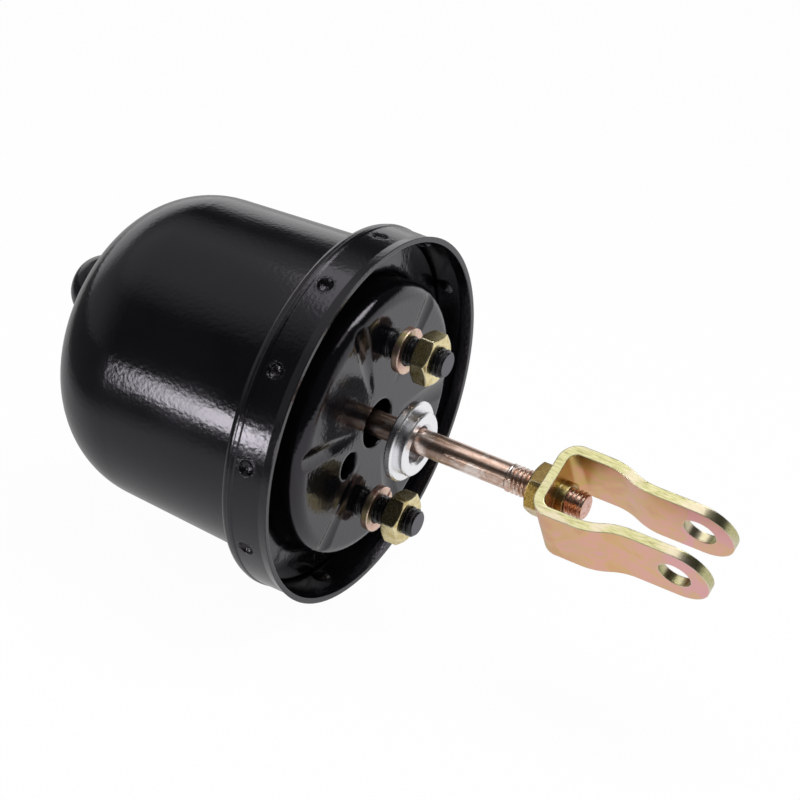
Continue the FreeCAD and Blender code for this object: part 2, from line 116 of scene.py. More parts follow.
def softbox(name, width, height, place, aim, glow):
    """A flat lamp whose face is glow times as bright as white paper."""
    lamp = bpy.data.lights.new(name, "AREA")
    lamp.shape = "RECTANGLE"
    lamp.size = width
    lamp.size_y = height
    lamp.energy = glow * math.pi * width * height
    holder = bpy.data.objects.new(name, lamp)
    bpy.context.scene.collection.objects.link(holder)
    holder.location = place
    holder.rotation_mode = "QUATERNION"
    holder.rotation_quaternion = (Vector(aim) - Vector(place)).to_track_quat("-Z", "Y")


flash_place = Vector((-131, -222, 0)) * MM
flash_along = Vector((0.858, -0.514, 0))
flash_normal = Vector((0.514, 0.858, 0.1))

# Four panels beside each other, in millimetres along the flash and up from its place.
flash_panels = {
    "low_flash_end": {"left": -39, "right": -28, "foot": -52, "head": -2, "glow": 6.2},
    "low_flash_side": {"left": -28, "right": -20, "foot": -56, "head": -3, "glow": 8.4},
    "low_flash_middle": {"left": -20, "right": 9, "foot": -53, "head": -11, "glow": 13},
    "low_flash_centre": {"left": 12, "right": 45, "foot": -43, "head": -4, "glow": 17},
}
for name, panel in flash_panels.items():
    width = (panel["right"] - panel["left"]) * MM
    height = (panel["head"] - panel["foot"]) * MM
    along = (panel["left"] + panel["right"]) / 2 * MM
    up = (panel["foot"] + panel["head"]) / 2 * MM
    place = flash_place + flash_along * along + Vector((0, 0, up))
    softbox(name, width, height, place, place + flash_normal, panel["glow"])
softbox("high_flash", 230 * MM, 230 * MM, Vector((85, 100, 480)) * MM, rim_centre, 6)
softbox("card", 260 * MM, 220 * MM, Vector((-20, -30, 300)) * MM, Vector((60, 0, 0)) * MM, 1.25)


def ray_kinds(tree):
    """1 for rays from the camera or through glass, and 1 for those and mirrored rays."""
    light_path = add_node(tree, "ShaderNodeLightPath")
    direct = add_node(tree, "ShaderNodeMath", {"operation": "MAXIMUM"},
                      {0: light_path.outputs["Is Camera Ray"], 1: light_path.outputs["Is Transmission Ray"]})
    seen = add_node(tree, "ShaderNodeMath", {"operation": "MAXIMUM"},
                    {0: direct.outputs[0], 1: light_path.outputs["Is Glossy Ray"]})
    return direct.outputs[0], seen.outputs[0]


world = bpy.data.worlds.new("paper_backdrop")
bpy.context.scene.world = world
world.use_nodes = True
tree = world.node_tree
tree.nodes.clear()
direct, seen = ray_kinds(tree)
direction = add_node(tree, "ShaderNodeTexCoord").outputs["Generated"]
way = add_node(tree, "ShaderNodeSeparateXYZ", inputs={0: direction})
behind = add_node(tree, "ShaderNodeMapRange",
                  inputs={"Value": way.outputs[1], 1: 0.0, 2: 0.35, 3: 0.0, 4: 1.0})
paper_top = add_node(tree, "ShaderNodeMapRange",
                     inputs={"Value": way.outputs[2], 1: 0.30, 2: 0.44, 3: 1.0, 4: 0.0})
backdrop = add_node(tree, "ShaderNodeMath", {"operation": "MULTIPLY"},
                    {0: behind.outputs[0], 1: paper_top.outputs[0]})
overhead = add_node(tree, "ShaderNodeVectorMath", {"operation": "DOT_PRODUCT"},
                    {0: direction, 1: (-0.62, 0, 0.78)})
ceiling = add_node(tree, "ShaderNodeMapRange",
                   inputs={"Value": overhead.outputs["Value"], 1: 0.78, 2: 0.95, 3: 0.0, 4: 0.45})
side_wall = add_node(tree, "ShaderNodeMapRange",
                     inputs={"Value": way.outputs[0], 1: -0.60, 2: -0.92, 3: 0.025, 4: 0.30})
shown = direct
for surface in (ceiling, side_wall, backdrop):
    brighter = add_node(tree, "ShaderNodeMath", {"operation": "MAXIMUM"}, {0: shown, 1: surface.outputs[0]})
    shown = brighter.outputs[0]
room = add_node(tree, "ShaderNodeBackground", inputs={"Color": srgb("e6e8ee"), "Strength": 0.6})
white = add_node(tree, "ShaderNodeBackground", inputs={"Color": (1, 1, 1, 1), "Strength": shown})
either = add_node(tree, "ShaderNodeMixShader", inputs={0: seen, 1: room.outputs[0], 2: white.outputs[0]})
add_node(tree, "ShaderNodeOutputWorld", inputs={"Surface": either.outputs[0]})


# The floor.
# The white paper runs on under the chamber and takes its faint shadow. It shows white to the
# camera. In the enamel it has a painted shade, greyer under the can than the rod, and ends in front.
def new_material(name):
    material = bpy.data.materials.new(name)
    material.use_nodes = True
    material.node_tree.nodes.clear()
    return material, material.node_tree


def close_material(tree, shader):
    add_node(tree, "ShaderNodeOutputMaterial", inputs={"Surface": shader.outputs[0]})


def coat(piece, material):
    piece.data.materials.clear()
    piece.data.materials.append(material)


def white_paper():
    material, tree = new_material("white_paper")
    direct, seen = ray_kinds(tree)
    place = add_node(tree, "ShaderNodeTexCoord").outputs["Object"]
    spot = add_node(tree, "ShaderNodeSeparateXYZ", inputs={0: place})
    # Painted shade of the can on the paper, for mirrored rays: darker toward -X, under the can.
    painted_can_shade = add_node(tree, "ShaderNodeMapRange",
                      inputs={"Value": spot.outputs[0], 1: -60 * MM, 2: 60 * MM, 3: 0.5, 4: 0.92})
    toward_front = add_node(tree, "ShaderNodeVectorMath", {"operation": "DOT_PRODUCT"},
                            {0: place, 1: (0.8, 1, 0)})
    paper_front = add_node(tree, "ShaderNodeMapRange",
                           inputs={"Value": toward_front.outputs["Value"],
                                   1: -205 * MM, 2: -150 * MM, 3: 0.15, 4: 1.0})
    mirrored = add_node(tree, "ShaderNodeMath", {"operation": "MULTIPLY"},
                        {0: painted_can_shade.outputs[0], 1: paper_front.outputs[0]})
    strength = add_node(tree, "ShaderNodeMath", {"operation": "MAXIMUM"},
                        {0: direct, 1: mirrored.outputs[0]})
    glow = add_node(tree, "ShaderNodeEmission",
                    inputs={"Color": (1, 1, 1, 1), "Strength": strength.outputs[0]})
    matt = add_node(tree, "ShaderNodeBsdfDiffuse", inputs={"Color": srgb("f2f2f2")})

    # What doesn't glow is matt, and takes the shadow.
    glow_share = 0.97
    share = add_node(tree, "ShaderNodeMath", {"operation": "MULTIPLY"}, {0: seen, 1: glow_share})
    close_material(tree, add_node(tree, "ShaderNodeMixShader",
                                  inputs={0: share.outputs[0], 1: matt.outputs[0], 2: glow.outputs[0]}))
    return material


floor_gap = 1 * MM
floor_z = cad_box[0].z - floor_gap
floor_half = 4.0
floor_corners = [(x * floor_half, y * floor_half, floor_z) for x, y in ((-1, -1), (1, -1), (1, 1), (-1, 1))]
floor_mesh = bpy.data.meshes.new("floor")
floor_mesh.from_pydata(floor_corners, [], [(0, 1, 2, 3)])
floor = bpy.data.objects.new("floor", floor_mesh)
bpy.context.scene.collection.objects.link(floor)
coat(floor, white_paper())


# The black enamel of can, cover and boss.
# Stoved black enamel sprayed over pressed sheet steel. It is deep black and glossy, with an
# orange peel that ripples its reflections, and the sheet under it is bruised round each stake.
def stake_bruises(tree, place, stake_x, stake_count, band_r):
    """1 at each stake of the band, fading to 0 a few millimetres away."""
    apart = add_node(tree, "ShaderNodeSeparateXYZ", inputs={0: place})
    angle = add_node(tree, "ShaderNodeMath", {"operation": "ARCTAN2"},
                     {0: apart.outputs[1], 1: apart.outputs[2]})
    step = add_node(tree, "ShaderNodeMath", {"operation": "MULTIPLY"},
                    {0: angle.outputs[0], 1: stake_count / math.tau})
    nearest = add_node(tree, "ShaderNodeMath", {"operation": "ROUND"}, {0: step.outputs[0]})
    off = add_node(tree, "ShaderNodeMath", {"operation": "SUBTRACT"},
                   {0: step.outputs[0], 1: nearest.outputs[0]})
    across = add_node(tree, "ShaderNodeMath", {"operation": "MULTIPLY"},
                      {0: off.outputs[0], 1: math.tau * band_r / stake_count})
    along = add_node(tree, "ShaderNodeMath", {"operation": "SUBTRACT"}, {0: apart.outputs[0], 1: stake_x})
    flat = add_node(tree, "ShaderNodeCombineXYZ", inputs={0: across.outputs[0], 1: along.outputs[0]})
    distance = add_node(tree, "ShaderNodeVectorMath", {"operation": "LENGTH"}, {0: flat.outputs[0]})
    return add_node(tree, "ShaderNodeMapRange", {"interpolation_type": "SMOOTHSTEP"},
                    {"Value": distance.outputs["Value"], 1: 2.0 * MM, 2: 3.7 * MM, 3: 1.0, 4: 0.0}).outputs[0]


def black_enamel(name, least_rough, most_rough, edge_mm):
    """Black enamel with orange peel, a few dust nibs, bruises at the stakes and rounded edges."""
    material, tree = new_material(name)
    place = add_node(tree, "ShaderNodeTexCoord").outputs["Object"]
    peel = add_node(tree, "ShaderNodeTexNoise",
                    inputs={"Vector": place, "Scale": 1 / (1.1 * MM), "Detail": 1.5, "Roughness": 0.4})
    flow = add_node(tree, "ShaderNodeTexNoise",
                    inputs={"Vector": place, "Scale": 1 / (14 * MM), "Detail": 2.0, "Roughness": 0.5})
    dust = add_node(tree, "ShaderNodeTexVoronoi", inputs={"Vector": place, "Scale": 1 / (6 * MM)})
    nib = add_node(tree, "ShaderNodeMapRange",
                   inputs={"Value": dust.outputs["Distance"], 1: 0.0, 2: 0.035, 3: 1.0, 4: 0.0})
    dents = add_node(tree, "ShaderNodeTexNoise",
                     inputs={"Vector": place, "Scale": 1 / (1.3 * MM), "Detail": 2.0, "Roughness": 0.6,
                             "Distortion": 0.8})
    bruise = stake_bruises(tree, place, stake_x=-8.9 * MM, stake_count=12, band_r=51.2 * MM)
    rough = add_node(tree, "ShaderNodeMapRange",
                     inputs={"Value": flow.outputs[0], 1: 0.3, 2: 0.7, 3: least_rough, 4: most_rough})
    rounded = add_node(tree, "ShaderNodeBevel", {"samples": 6}, {"Radius": edge_mm * MM})
    wave = add_node(tree, "ShaderNodeBump",
                    inputs={"Strength": 0.13, "Distance": 0.35 * MM, "Height": peel.outputs[0],
                            "Normal": rounded.outputs[0]})
    grit = add_node(tree, "ShaderNodeBump",
                    inputs={"Strength": 0.15, "Distance": 0.12 * MM, "Height": nib.outputs[0],
                            "Normal": wave.outputs[0]})
    dent_strength = add_node(tree, "ShaderNodeMath", {"operation": "MULTIPLY"}, {0: bruise, 1: 0.75})
    dent = add_node(tree, "ShaderNodeBump",
                    inputs={"Strength": dent_strength.outputs[0], "Distance": 0.55 * MM,
                            "Height": dents.outputs[0], "Normal": grit.outputs[0]})
    tone = add_node(tree, "ShaderNodeMix", {"data_type": "RGBA"},
                    {0: flow.outputs[0], 6: srgb("08080a"), 7: srgb("101013")})
    close_material(tree, add_node(tree, "ShaderNodeBsdfPrincipled",
                                  inputs={"Base Color": tone.outputs[2], "Roughness": rough.outputs[0],
                                          "IOR": 1.55, "Specular Tint": srgb("f4eefa"),
                                          "Normal": dent.outputs[0]}))
    return material


can_enamel = black_enamel("stoved_black_enamel_on_drawn_can", 0.13, 0.19, edge_mm=0.45)
cover_enamel = black_enamel("stoved_black_enamel_on_pressed_cover", 0.08, 0.13, edge_mm=1.1)
coat(nodes["casing"], can_enamel)
coat(nodes["inlet_boss"], can_enamel)
coat(nodes["front_cover"], cover_enamel)


# The bracket studs, blackened steel.
# Press-in studs with rolled M8 threads, phosphated black. Head, shank and thread are one piece,
# the thread is a true helix, and the cut end shows grey steel.
bar_sides = 56
rings_per_turn = 14


def rolled_thread():
    """A tree that raises a helical thread on a bar along Z and dresses its cut end apart."""
    tree = bpy.data.node_groups.new("rolled_thread", "GeometryNodeTree")
    for name, kind in (("Length", "Float"), ("Pitch", "Float"), ("Crest Radius", "Float"),
                       ("Root Radius", "Float"), ("Chamfer", "Float"), ("Rings", "Int"),
                       ("Side", "Material"), ("End", "Material")):
        tree.interface.new_socket(name, in_out="INPUT", socket_type="NodeSocket" + kind)
    tree.interface.new_socket("Geometry", in_out="OUTPUT", socket_type="NodeSocketGeometry")
    given = add_node(tree, "NodeGroupInput").outputs
    bar = add_node(tree, "GeometryNodeMeshCylinder", {"fill_type": "NGON"},
                   {"Vertices": bar_sides, "Side Segments": given["Rings"],
                    "Radius": given["Crest Radius"], "Depth": given["Length"]})
    position = add_node(tree, "GeometryNodeInputPosition")
    apart = add_node(tree, "ShaderNodeSeparateXYZ", inputs={0: position.outputs[0]})

    # The phase along the helix, the same at every point of the crest.
    angle = add_node(tree, "ShaderNodeMath", {"operation": "ARCTAN2"},
                     {0: apart.outputs[1], 1: apart.outputs[0]})
    turned = add_node(tree, "ShaderNodeMath", {"operation": "DIVIDE"}, {0: angle.outputs[0], 1: math.tau})
    climbed = add_node(tree, "ShaderNodeMath", {"operation": "DIVIDE"},
                       {0: apart.outputs[2], 1: given["Pitch"]})
    lag = add_node(tree, "ShaderNodeMath", {"operation": "SUBTRACT"},
                   {0: climbed.outputs[0], 1: turned.outputs[0]})
    phase = add_node(tree, "ShaderNodeMath", {"operation": "FRACT"}, {0: lag.outputs[0]})
    centred = add_node(tree, "ShaderNodeMath", {"operation": "SUBTRACT"}, {0: phase.outputs[0], 1: 0.5})
    from_crest = add_node(tree, "ShaderNodeMath", {"operation": "ABSOLUTE"}, {0: centred.outputs[0]})

    # The groove's depth, which runs in over the first turn.
    flank = add_node(tree, "ShaderNodeMapRange",
                     inputs={"Value": from_crest.outputs[0], 1: 0.07, 2: 0.42, 3: 0.0, 4: 1.0})
    height = add_node(tree, "ShaderNodeMath", {"operation": "SUBTRACT"},
                      {0: given["Crest Radius"], 1: given["Root Radius"]})
    groove = add_node(tree, "ShaderNodeMath", {"operation": "MULTIPLY"},
                      {0: flank.outputs[0], 1: height.outputs[0]})
    half = add_node(tree, "ShaderNodeMath", {"operation": "DIVIDE"}, {0: given["Length"], 1: 2.0})
    from_start = add_node(tree, "ShaderNodeMath", {"operation": "ADD"},
                          {0: apart.outputs[2], 1: half.outputs[0]})
    started = add_node(tree, "ShaderNodeMath", {"operation": "DIVIDE"},
                       {0: from_start.outputs[0], 1: given["Pitch"]})
    run_in = add_node(tree, "ShaderNodeMapRange",
                      inputs={"Value": started.outputs[0], 1: 0.1, 2: 1.0, 3: 0.0, 4: 1.0})
    depth = add_node(tree, "ShaderNodeMath", {"operation": "MULTIPLY"},
                     {0: groove.outputs[0], 1: run_in.outputs[0]})
    radius = add_node(tree, "ShaderNodeMath", {"operation": "SUBTRACT"},
                      {0: given["Crest Radius"], 1: depth.outputs[0]})

    # The chamfer's cone at the cut end.
    to_end = add_node(tree, "ShaderNodeMath", {"operation": "SUBTRACT"},
                      {0: half.outputs[0], 1: apart.outputs[2]})
    tip_r = add_node(tree, "ShaderNodeMath", {"operation": "SUBTRACT"},
                     {0: given["Crest Radius"], 1: given["Chamfer"]})
    cone = add_node(tree, "ShaderNodeMath", {"operation": "ADD"},
                    {0: tip_r.outputs[0], 1: to_end.outputs[0]})
    limited = add_node(tree, "ShaderNodeMath", {"operation": "MINIMUM"},
                       {0: radius.outputs[0], 1: cone.outputs[0]})

    cosine = add_node(tree, "ShaderNodeMath", {"operation": "COSINE"}, {0: angle.outputs[0]})
    sine = add_node(tree, "ShaderNodeMath", {"operation": "SINE"}, {0: angle.outputs[0]})
    new_x = add_node(tree, "ShaderNodeMath", {"operation": "MULTIPLY"},
                     {0: limited.outputs[0], 1: cosine.outputs[0]})
    new_y = add_node(tree, "ShaderNodeMath", {"operation": "MULTIPLY"},
                     {0: limited.outputs[0], 1: sine.outputs[0]})
    place = add_node(tree, "ShaderNodeCombineXYZ",
                     inputs={0: new_x.outputs[0], 1: new_y.outputs[0], 2: apart.outputs[2]})
    cut = add_node(tree, "GeometryNodeSetPosition",
                   inputs={"Geometry": bar.outputs["Mesh"], "Position": place.outputs[0]})

    normal = add_node(tree, "GeometryNodeInputNormal")
    facing = add_node(tree, "ShaderNodeSeparateXYZ", inputs={0: normal.outputs[0]})
    is_end = add_node(tree, "FunctionNodeCompare", {"data_type": "FLOAT", "operation": "GREATER_THAN"},
                      {0: facing.outputs[2], 1: 0.95})
    real = add_node(tree, "GeometryNodeRealizeInstances", inputs={"Geometry": cut.outputs[0]})
    dressed = add_node(tree, "GeometryNodeSetMaterial",
                       inputs={"Geometry": real.outputs[0], "Material": given["Side"]})
    ended = add_node(tree, "GeometryNodeSetMaterial",
                     inputs={"Geometry": dressed.outputs[0], "Selection": is_end.outputs[0],
                             "Material": given["End"]})
    add_node(tree, "NodeGroupOutput", inputs={"Geometry": ended.outputs[0]})
    return tree


def grown(name, tree, values):
    """The mesh that a tree makes from its named inputs."""
    seed = bpy.data.objects.new(name, bpy.data.meshes.new(name))
    bpy.context.scene.collection.objects.link(seed)
    maker = seed.modifiers.new(name, "NODES")
    maker.node_group = tree
    for item in tree.interface.items_tree:
        if item.in_out == "INPUT":
            maker[item.identifier] = values[item.name]
    seed.update_tag()
    bpy.context.view_layer.update()
    evaluated = seed.evaluated_get(bpy.context.evaluated_depsgraph_get())
    data = bpy.data.meshes.new_from_object(evaluated)
    bpy.data.objects.remove(seed)
    data.name = name
    return data


thread_tree = rolled_thread()


def threaded_piece(name, profile, thread_end, centre_z, thread, side, end):
    """One mesh of two closed shells about the piece's axis: a turned body from (x, radius)
    points, and the thread from the body's last point on."""
    thread_start = profile[-1][0]
    length = thread_end - thread_start
    rings = round(length / thread["Pitch"] * rings_per_turn)
    data = grown(name, thread_tree, {**thread, "Length": length, "Rings": rings, "Side": side, "End": end})
    middle = Matrix.Translation((thread_start + length / 2, 0, centre_z))
    data.transform(middle @ Matrix.Rotation(math.pi / 2, 4, "Y"))
    mesh = bmesh.new()
    mesh.from_mesh(data)
    circles = []
    for x, radius in profile:
        circle = []
        for step in range(bar_sides):
            angle = math.tau * step / bar_sides
            circle.append(mesh.verts.new((x, radius * math.cos(angle), centre_z + radius * math.sin(angle))))
        circles.append(circle)
    faces = [mesh.faces.new(list(reversed(circles[0]))), mesh.faces.new(circles[-1])]
    for a, b in zip(circles, circles[1:]):
        for step in range(bar_sides):
            after = (step + 1) % bar_sides
            faces.append(mesh.faces.new((a[step], a[after], b[after], b[step])))
    for face in faces:
        face.material_index = list(data.materials).index(side)
    bmesh.ops.recalc_face_normals(mesh, faces=mesh.faces)
    mesh.to_mesh(data)
    mesh.free()
    data.shade_smooth()
    data.set_sharp_from_angle(angle=math.radians(32))
    piece = bpy.data.objects.new(name, data)
    bpy.context.scene.collection.objects.link(piece)
    return piece


def mottled(name, light, dark, metallic, rough, grain_mm):
    """Two mottled tones with a fine grain, for plain metal, rubber or nylon."""
    material, tree = new_material(name)
    place = add_node(tree, "ShaderNodeTexCoord").outputs["Object"]
    grain = add_node(tree, "ShaderNodeTexNoise",
                     inputs={"Vector": place, "Scale": 1 / (grain_mm * MM), "Detail": 4.0, "Roughness": 0.6})
    tone = add_node(tree, "ShaderNodeMix", {"data_type": "RGBA"},
                    {0: grain.outputs[0], 6: srgb(dark), 7: srgb(light)})
    gloss = add_node(tree, "ShaderNodeMapRange",
                     inputs={"Value": grain.outputs[0], 1: 0.3, 2: 0.7, 3: rough - 0.06, 4: rough + 0.08})
    bump = add_node(tree, "ShaderNodeBump",
                    inputs={"Strength": 0.2, "Distance": 0.05 * MM, "Height": grain.outputs[0]})
    close_material(tree, add_node(tree, "ShaderNodeBsdfPrincipled",
                                  inputs={"Base Color": tone.outputs[2], "Metallic": metallic,
                                          "Roughness": gloss.outputs[0], "Normal": bump.outputs[0]}))
    return material


stud_black = mottled("black_phosphated_steel", "242428", "0a0a0c", 0.3, 0.24, 0.5)
stud_grey = mottled("cut_steel_end", "77777d", "55555a", 1.0, 0.42, 0.7)
stud_thread = {"Pitch": 1.25 * MM, "Crest Radius": 4.0 * MM, "Root Radius": 3.32 * MM, "Chamfer": 0.75 * MM}
register_r = 4.25 * MM
head_front_x = -2 * MM
thread_start_x = -0.02 * MM
head_chamfer = 0.8 * MM
for name in ("upper_stud", "lower_stud"):
    low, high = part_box(name)
    head_r = (high.z - low.z) / 2
    profile = [(low.x, head_r - head_chamfer), (low.x + head_chamfer, head_r), (head_front_x, head_r),
               (head_front_x, register_r), (thread_start_x, register_r),
               (thread_start_x, stud_thread["Crest Radius"])]
    stud = threaded_piece(name + "_black", profile, high.x, (low.z + high.z) / 2, stud_thread,
                          stud_black, stud_grey)
    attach(stud, "casing_assembly")
    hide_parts(name)


# Nuts and washers: zinc plate with coloured passivation.
# Cold-formed steel, barrel-plated with zinc and passivated, which leaves thin interference
# colours from straw through pink to olive that wander over each face, and pale edges, partly worn
# and partly a painted highlight.
def worn_and_highlit_edges(tree, edge_mm):
    """The normal of a rounded edge, and 1 on the edge, painted pale as rubbed wear and as a painted
    highlight.
    """
    rounded = add_node(tree, "ShaderNodeBevel", {"samples": 6}, {"Radius": edge_mm * MM})
    flat = add_node(tree, "ShaderNodeNewGeometry")
    same = add_node(tree, "ShaderNodeVectorMath", {"operation": "DOT_PRODUCT"},
                    {0: rounded.outputs[0], 1: flat.outputs["Normal"]})
    wear_and_highlight = add_node(tree, "ShaderNodeMapRange",
                    inputs={"Value": same.outputs["Value"], 1: 0.99, 2: 0.93, 3: 0.0, 4: 0.75})
    return rounded.outputs[0], wear_and_highlight.outputs[0]


def tone_ramp(tree, value, stops):
    """A ramp through colours, as {position: hex colour} from low to high."""
    ramp = add_node(tree, "ShaderNodeValToRGB", inputs={0: value})
    elements = ramp.color_ramp.elements
    places = sorted(stops)
    elements[0].position = places[0]
    elements[1].position = places[-1]
    for position in places[1:-1]:
        elements.new(position)
    for element in elements:
        nearest = min(places, key=lambda position: abs(position - element.position))
        element.color = srgb(stops[nearest])
    return ramp.outputs[0]


def passivated_zinc(name, tones, dark, rough, patch_mm, streak=(1, 1, 1), grain=0.12, edge_mm=0.3,
                    mark_darkness=0.35, wear_and_highlight="f3edd2", dark_above=1.0):
    """Patches of three tones, fine dark specks or streaks, painted shade on top, and edges painted pale for
    wear and highlight.
    """
    material, tree = new_material(name)
    place = add_node(tree, "ShaderNodeTexCoord").outputs["Object"]
    patches = add_node(tree, "ShaderNodeTexNoise",
                       inputs={"Vector": place, "Scale": 1 / (patch_mm * MM), "Detail": 3.0,
                               "Roughness": 0.55, "Distortion": 0.6})
    colour = tone_ramp(tree, patches.outputs[0], {0.34: tones[0], 0.5: tones[1], 0.66: tones[2]})
    along = add_node(tree, "ShaderNodeMapping", inputs={"Vector": place, "Scale": streak})
    fine = add_node(tree, "ShaderNodeTexNoise",
                    inputs={"Vector": along.outputs[0], "Scale": 1 / (0.35 * MM), "Detail": 3.0,
                            "Roughness": 0.6})
    # Dark specks, stretched to streaks along the rod, where they are partly drawing marks and partly painted
    # reflections.
    dark_marks = add_node(tree, "ShaderNodeMapRange",
                     inputs={"Value": fine.outputs[0], 1: 0.54, 2: 0.76, 3: 0.0, 4: mark_darkness})
    height = add_node(tree, "ShaderNodeSeparateXYZ", inputs={0: place})
    # A painted shade: the flats above dark_above take the dark colour.
    painted_top_shade = add_node(tree, "ShaderNodeMapRange",
                   inputs={"Value": height.outputs[2], 1: dark_above, 2: dark_above + 0.6 * MM,
                           3: 0.0, 4: 0.7})
    dark_share = add_node(tree, "ShaderNodeMath", {"operation": "MAXIMUM"},
                     {0: dark_marks.outputs[0], 1: painted_top_shade.outputs[0]})
    plate = add_node(tree, "ShaderNodeMix", {"data_type": "RGBA"},
                     {0: dark_share.outputs[0], 6: colour, 7: srgb(dark)})
    edge_normal, edge_share = worn_and_highlit_edges(tree, edge_mm)
    # The pale edge colour is partly rubbed wear and partly a painted highlight.
    tone = add_node(tree, "ShaderNodeMix", {"data_type": "RGBA"},
                    {0: edge_share, 6: plate.outputs[2], 7: srgb(wear_and_highlight)})
    gloss = add_node(tree, "ShaderNodeMapRange",
                     inputs={"Value": fine.outputs[0], 1: 0.3, 2: 0.7, 3: rough - 0.06, 4: rough + 0.1})
    bump = add_node(tree, "ShaderNodeBump",
                    inputs={"Strength": grain, "Distance": 0.05 * MM, "Height": fine.outputs[0],
                            "Normal": edge_normal})
    close_material(tree, add_node(tree, "ShaderNodeBsdfPrincipled",
                                  inputs={"Base Color": tone.outputs[2], "Metallic": 1.0,
                                          "Roughness": gloss.outputs[0], "Normal": bump.outputs[0]}))
    return material


nut_zinc = passivated_zinc("yellow_passivated_zinc", ("d6c286", "efe1b0", "c0a863"), "5a4a1e", 0.25, 5,
                           grain=0.14, edge_mm=0.6, mark_darkness=0.3)
# The washers' pale edge colour is partly wear and partly a painted highlight.
washer_zinc = passivated_zinc("copper_passivated_zinc", ("d9a18b", "f0d0c0", "c4b780"), "7a5546", 0.34, 5,
                              edge_mm=0.7, wear_and_highlight="f4d9cc")
# The lock nut's upper flats carry a painted shade.
lock_zinc = passivated_zinc("olive_passivated_zinc", ("b8944c", "d8b463", "9a7d40"), "3f3a33", 0.24, 4,
                            grain=0.2, edge_mm=0.45, dark_above=2.9 * MM)
for name in ("upper_stud_nut", "lower_stud_nut"):
    coat(nodes[name], nut_zinc)
for name in ("upper_spring_washer", "lower_spring_washer"):
    coat(nodes[name], washer_zinc)
coat(nodes["lock_nut"], lock_zinc)


# The push rod.
# Turned from bar with a ball at its inner end and a rolled M8 thread at the other, plated and
# passivated to a pinkish bronze, streaked lengthwise partly by drawing marks, partly as painted reflection.
# Its dark lengthwise streaks are partly drawing marks and partly painted reflections.
rod_zinc = passivated_zinc("streaked_bronze_zinc", ("e0c6b8", "caa896", "f4e6de"), "5a4436", 0.29, 5,
                           streak=(0.035, 1, 1), edge_mm=0.1, mark_darkness=0.9)
rod_end_zinc = passivated_zinc("pink_rod_end_zinc", ("d9a898", "e5bcae", "c99080"), "7a5040", 0.3, 2)
rod_thread = {"Pitch": 1.25 * MM, "Crest Radius": 3.9 * MM, "Root Radius": 3.3 * MM, "Chamfer": 0.7 * MM}
ball_x = -63.4 * MM
ball_r = 7 * MM
ball_steps = 22
shank_r = 3.55 * MM
shank_end = (41.05 * MM, shank_r)
thread_shoulder = (41.4 * MM, 3.88 * MM)
pole = math.radians(3)
sweep = math.pi - pole - math.asin(shank_r / ball_r)
ball_angles = [pole + sweep * step / ball_steps for step in range(ball_steps + 1)]
profile = [(ball_x - ball_r * math.cos(angle), ball_r * math.sin(angle)) for angle in ball_angles]
profile += [shank_end, thread_shoulder]
rod = threaded_piece("push_rod_bronze", profile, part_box("push_rod")[1].x, 0, rod_thread,
                     rod_zinc, rod_end_zinc)
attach(rod, "push_rod")
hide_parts("push_rod")


# The guide ring, turned aluminium.
# Faced and bored from bar and left bright, with fine turning marks round its own axis.
def turned_aluminium(centre_z):
    material, tree = new_material("turned_aluminium")
    place = add_node(tree, "ShaderNodeTexCoord").outputs["Object"]
    centred = add_node(tree, "ShaderNodeMapping", inputs={"Vector": place, "Location": (0, 0, -centre_z)})
    apart = add_node(tree, "ShaderNodeSeparateXYZ", inputs={0: centred.outputs[0]})
    flat = add_node(tree, "ShaderNodeCombineXYZ", inputs={1: apart.outputs[1], 2: apart.outputs[2]})
    radius = add_node(tree, "ShaderNodeVectorMath", {"operation": "LENGTH"}, {0: flat.outputs[0]})
    along = add_node(tree, "ShaderNodeMath", {"operation": "ADD"},
                     {0: radius.outputs["Value"], 1: apart.outputs[0]})
    mark = add_node(tree, "ShaderNodeMath", {"operation": "MULTIPLY"},
                    {0: along.outputs[0], 1: 1 / (0.16 * MM)})
    lines = add_node(tree, "ShaderNodeTexNoise", {"noise_dimensions": "1D"},
                     {"W": mark.outputs[0], "Scale": 1.0, "Detail": 2.0})
    handled = add_node(tree, "ShaderNodeTexNoise",
                       inputs={"Vector": place, "Scale": 1 / (3.5 * MM), "Detail": 3.0})
    tone = add_node(tree, "ShaderNodeMix", {"data_type": "RGBA"},
                    {0: handled.outputs[0], 6: srgb("eeeef3"), 7: srgb("fdfdfe")})
    soft_edge = add_node(tree, "ShaderNodeBevel", {"samples": 6}, {"Radius": 0.25 * MM})
    bump = add_node(tree, "ShaderNodeBump",
                    inputs={"Strength": 0.2, "Distance": 0.03 * MM, "Height": lines.outputs[0],
                            "Normal": soft_edge.outputs[0]})
    rough = add_node(tree, "ShaderNodeMapRange",
                     inputs={"Value": handled.outputs[0], 1: 0.3, 2: 0.7, 3: 0.23, 4: 0.36})
    close_material(tree, add_node(tree, "ShaderNodeBsdfPrincipled",
                                  inputs={"Base Color": tone.outputs[2], "Metallic": 1.0,
                                          "Roughness": rough.outputs[0], "Normal": bump.outputs[0]}))
    return material


low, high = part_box("guide_ring")
coat(nodes["guide_ring"], turned_aluminium((low.z + high.z) / 2))


